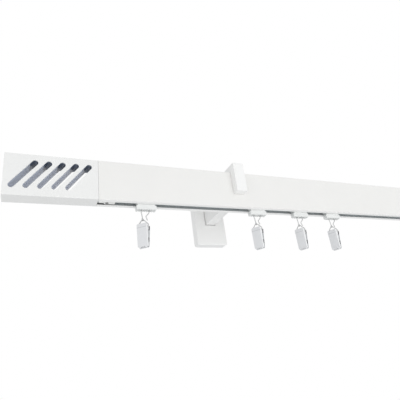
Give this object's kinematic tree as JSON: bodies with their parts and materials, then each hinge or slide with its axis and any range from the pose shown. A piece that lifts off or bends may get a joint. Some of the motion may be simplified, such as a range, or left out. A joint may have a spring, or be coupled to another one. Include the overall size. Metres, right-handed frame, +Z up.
{
  "type": "curtain rod",
  "caption": "Rectangular inner-track curtain rod with slotted end caps, hook-over wall brackets and sliding gliders that carry sprung curtain clips on wire hooks.",
  "frame": {"origin": "middle of the left bracket's wall fixing, on the wall plane", "axes": "+X along the rod to the right, +Y into the wall, +Z up"},
  "size_m": [1.0001, 0.0837, 0.0864],
  "materials": {
    "rod_white": "satin white powder coat on extruded aluminium",
    "cap_white": "satin white paint",
    "cap_dark": "glossy dark blue grey",
    "bracket_white": "satin white powder coat on cast metal",
    "plate_steel": "zinc plated steel",
    "screw_steel": "zinc plated steel",
    "stop_white": "moulded white plastic",
    "glider_white": "moulded white plastic",
    "wire_steel": "bright drawn wire",
    "clip_metal": "pale grey painted sheet steel"
  },
  "bodies": {
    "rod_and_brackets": {"rod_profile": "rod_white", "left_end_cap_shell": "cap_white", "left_end_cap_core": "cap_dark", "left_end_stop": "stop_white", "left_end_stop_screw": "screw_steel", "left_bracket_base_plate": "plate_steel", "left_bracket_cover": "bracket_white", "left_bracket_arm": "bracket_white", "left_bracket_front_hook": "bracket_white", "left_bracket_hook_screw": "screw_steel", "left_bracket_clamp_screw": "screw_steel", "left_bracket_arm_screws": "screw_steel", "right_end_cap_shell": "cap_white", "right_end_cap_core": "cap_dark", "right_end_stop": "stop_white", "right_end_stop_screw": "screw_steel", "right_bracket_base_plate": "plate_steel", "right_bracket_cover": "bracket_white", "right_bracket_arm": "bracket_white", "right_bracket_front_hook": "bracket_white", "right_bracket_hook_screw": "screw_steel", "right_bracket_clamp_screw": "screw_steel", "right_bracket_arm_screws": "screw_steel"},
    "runner_1": {"glider_1": "glider_white"},
    "hook_1": {"wire_hook_1": "wire_steel"},
    "bail_1": {"clip_bail_1": "wire_steel"},
    "clip_1": {"clip_front_jaw_1": "clip_metal", "clip_spring_1": "wire_steel"},
    "jaw_1": {"clip_rear_jaw_1": "clip_metal"},
    "runner_2": {"glider_2": "glider_white"},
    "hook_2": {"wire_hook_2": "wire_steel"},
    "bail_2": {"clip_bail_2": "wire_steel"},
    "clip_2": {"clip_front_jaw_2": "clip_metal", "clip_spring_2": "wire_steel"},
    "jaw_2": {"clip_rear_jaw_2": "clip_metal"},
    "runner_3": {"glider_3": "glider_white"},
    "hook_3": {"wire_hook_3": "wire_steel"},
    "bail_3": {"clip_bail_3": "wire_steel"},
    "clip_3": {"clip_front_jaw_3": "clip_metal", "clip_spring_3": "wire_steel"},
    "jaw_3": {"clip_rear_jaw_3": "clip_metal"},
    "runner_4": {"glider_4": "glider_white"},
    "hook_4": {"wire_hook_4": "wire_steel"},
    "bail_4": {"clip_bail_4": "wire_steel"},
    "clip_4": {"clip_front_jaw_4": "clip_metal", "clip_spring_4": "wire_steel"},
    "jaw_4": {"clip_rear_jaw_4": "clip_metal"},
    "runner_5": {"glider_5": "glider_white"},
    "hook_5": {"wire_hook_5": "wire_steel"},
    "bail_5": {"clip_bail_5": "wire_steel"},
    "clip_5": {"clip_front_jaw_5": "clip_metal", "clip_spring_5": "wire_steel"},
    "jaw_5": {"clip_rear_jaw_5": "clip_metal"},
    "runner_6": {"glider_6": "glider_white"},
    "hook_6": {"wire_hook_6": "wire_steel"},
    "bail_6": {"clip_bail_6": "wire_steel"},
    "clip_6": {"clip_front_jaw_6": "clip_metal", "clip_spring_6": "wire_steel"},
    "jaw_6": {"clip_rear_jaw_6": "clip_metal"}
  },
  "joints": [
    {"name": "glider_1_slide", "type": "slide", "parent": "rod_and_brackets", "child": "runner_1", "axis": [1, 0, 0], "range_m": [-0.017, 0.0381]},
    {"name": "hook_1_swing", "type": "hinge", "parent": "runner_1", "child": "hook_1", "pos_m": [-0.08785, -0.0694, -0.0218], "axis": [0, 1, 0], "range_deg": [-8, 8]},
    {"name": "bail_1_swing", "type": "hinge", "parent": "hook_1", "child": "bail_1", "pos_m": [-0.09045, -0.0694, -0.03213], "axis": [-0.6428, -0.766, 0], "range_deg": [-10, 10]},
    {"name": "clip_1_tilt", "type": "hinge", "parent": "bail_1", "child": "clip_1", "pos_m": [-0.09045, -0.0694, -0.0384], "axis": [0.766, -0.6428, 0], "range_deg": [-10, 10]},
    {"name": "jaw_1_open", "type": "hinge", "parent": "clip_1", "child": "jaw_1", "pos_m": [-0.09045, -0.0694, -0.0384], "axis": [0.766, -0.6428, 0], "range_deg": [0, 25], "stiffness_Nm_per_rad": 0.05, "springref_deg": -34.38},
    {"name": "glider_2_slide", "type": "slide", "parent": "rod_and_brackets", "child": "runner_2", "axis": [1, 0, 0], "range_m": [-0.0381, 0.0086]},
    {"name": "hook_2_swing", "type": "hinge", "parent": "runner_2", "child": "hook_2", "pos_m": [0.01915, -0.0694, -0.0218], "axis": [0, 1, 0], "range_deg": [-8, 8]},
    {"name": "bail_2_swing", "type": "hinge", "parent": "hook_2", "child": "bail_2", "pos_m": [0.01655, -0.0694, -0.03213], "axis": [-0.829, -0.5592, 0], "range_deg": [-10, 10]},
    {"name": "clip_2_tilt", "type": "hinge", "parent": "bail_2", "child": "clip_2", "pos_m": [0.01655, -0.0694, -0.0384], "axis": [0.5592, -0.829, 0], "range_deg": [-10, 10]},
    {"name": "jaw_2_open", "type": "hinge", "parent": "clip_2", "child": "jaw_2", "pos_m": [0.01655, -0.0694, -0.0384], "axis": [0.5592, -0.829, 0], "range_deg": [0, 25], "stiffness_Nm_per_rad": 0.05, "springref_deg": -34.38},
    {"name": "glider_3_slide", "type": "slide", "parent": "rod_and_brackets", "child": "runner_3", "axis": [1, 0, 0], "range_m": [-0.0086, 0.0043]},
    {"name": "hook_3_swing", "type": "hinge", "parent": "runner_3", "child": "hook_3", "pos_m": [0.06715, -0.0694, -0.0218], "axis": [0, 1, 0], "range_deg": [-8, 8]},
    {"name": "bail_3_swing", "type": "hinge", "parent": "hook_3", "child": "bail_3", "pos_m": [0.06455, -0.0694, -0.03213], "axis": [-0.8829, -0.4695, 0], "range_deg": [-10, 10]},
    {"name": "clip_3_tilt", "type": "hinge", "parent": "bail_3", "child": "clip_3", "pos_m": [0.06455, -0.0694, -0.0384], "axis": [0.4695, -0.8829, 0], "range_deg": [-10, 10]},
    {"name": "jaw_3_open", "type": "hinge", "parent": "clip_3", "child": "jaw_3", "pos_m": [0.06455, -0.0694, -0.0384], "axis": [0.4695, -0.8829, 0], "range_deg": [0, 25], "stiffness_Nm_per_rad": 0.05, "springref_deg": -34.38},
    {"name": "glider_4_slide", "type": "slide", "parent": "rod_and_brackets", "child": "runner_4", "axis": [1, 0, 0], "range_m": [-0.0043, 0.2254]},
    {"name": "hook_4_swing", "type": "hinge", "parent": "runner_4", "child": "hook_4", "pos_m": [0.10665, -0.0694, -0.0218], "axis": [0, 1, 0], "range_deg": [-8, 8]},
    {"name": "bail_4_swing", "type": "hinge", "parent": "hook_4", "child": "bail_4", "pos_m": [0.10405, -0.0694, -0.03213], "axis": [-0.9135, -0.4067, 0], "range_deg": [-10, 10]},
    {"name": "clip_4_tilt", "type": "hinge", "parent": "bail_4", "child": "clip_4", "pos_m": [0.10405, -0.0694, -0.0384], "axis": [0.4067, -0.9135, 0], "range_deg": [-10, 10]},
    {"name": "jaw_4_open", "type": "hinge", "parent": "clip_4", "child": "jaw_4", "pos_m": [0.10405, -0.0694, -0.0384], "axis": [0.4067, -0.9135, 0], "range_deg": [0, 25], "stiffness_Nm_per_rad": 0.05, "springref_deg": -34.38},
    {"name": "glider_5_slide", "type": "slide", "parent": "rod_and_brackets", "child": "runner_5", "axis": [1, 0, 0], "range_m": [-0.2254, 0.0381]},
    {"name": "hook_5_swing", "type": "hinge", "parent": "runner_5", "child": "hook_5", "pos_m": [0.58825, -0.0694, -0.0218], "axis": [0, 1, 0], "range_deg": [-8, 8]},
    {"name": "bail_5_swing", "type": "hinge", "parent": "hook_5", "child": "bail_5", "pos_m": [0.58565, -0.0694, -0.03213], "axis": [-0.9511, -0.309, 0], "range_deg": [-10, 10]},
    {"name": "clip_5_tilt", "type": "hinge", "parent": "bail_5", "child": "clip_5", "pos_m": [0.58565, -0.0694, -0.0384], "axis": [0.309, -0.9511, 0], "range_deg": [-10, 10]},
    {"name": "jaw_5_open", "type": "hinge", "parent": "clip_5", "child": "jaw_5", "pos_m": [0.58565, -0.0694, -0.0384], "axis": [0.309, -0.9511, 0], "range_deg": [0, 25], "stiffness_Nm_per_rad": 0.05, "springref_deg": -34.38},
    {"name": "glider_6_slide", "type": "slide", "parent": "rod_and_brackets", "child": "runner_6", "axis": [1, 0, 0], "range_m": [-0.0381, 0.017]},
    {"name": "hook_6_swing", "type": "hinge", "parent": "runner_6", "child": "hook_6", "pos_m": [0.69525, -0.0694, -0.0218], "axis": [0, 1, 0], "range_deg": [-8, 8]},
    {"name": "bail_6_swing", "type": "hinge", "parent": "hook_6", "child": "bail_6", "pos_m": [0.69265, -0.0694, -0.03213], "axis": [-0.9659, -0.2588, 0], "range_deg": [-10, 10]},
    {"name": "clip_6_tilt", "type": "hinge", "parent": "bail_6", "child": "clip_6", "pos_m": [0.69265, -0.0694, -0.0384], "axis": [0.2588, -0.9659, 0], "range_deg": [-10, 10]},
    {"name": "jaw_6_open", "type": "hinge", "parent": "clip_6", "child": "jaw_6", "pos_m": [0.69265, -0.0694, -0.0384], "axis": [0.2588, -0.9659, 0], "range_deg": [0, 25], "stiffness_Nm_per_rad": 0.05, "springref_deg": -34.38}
  ]
}
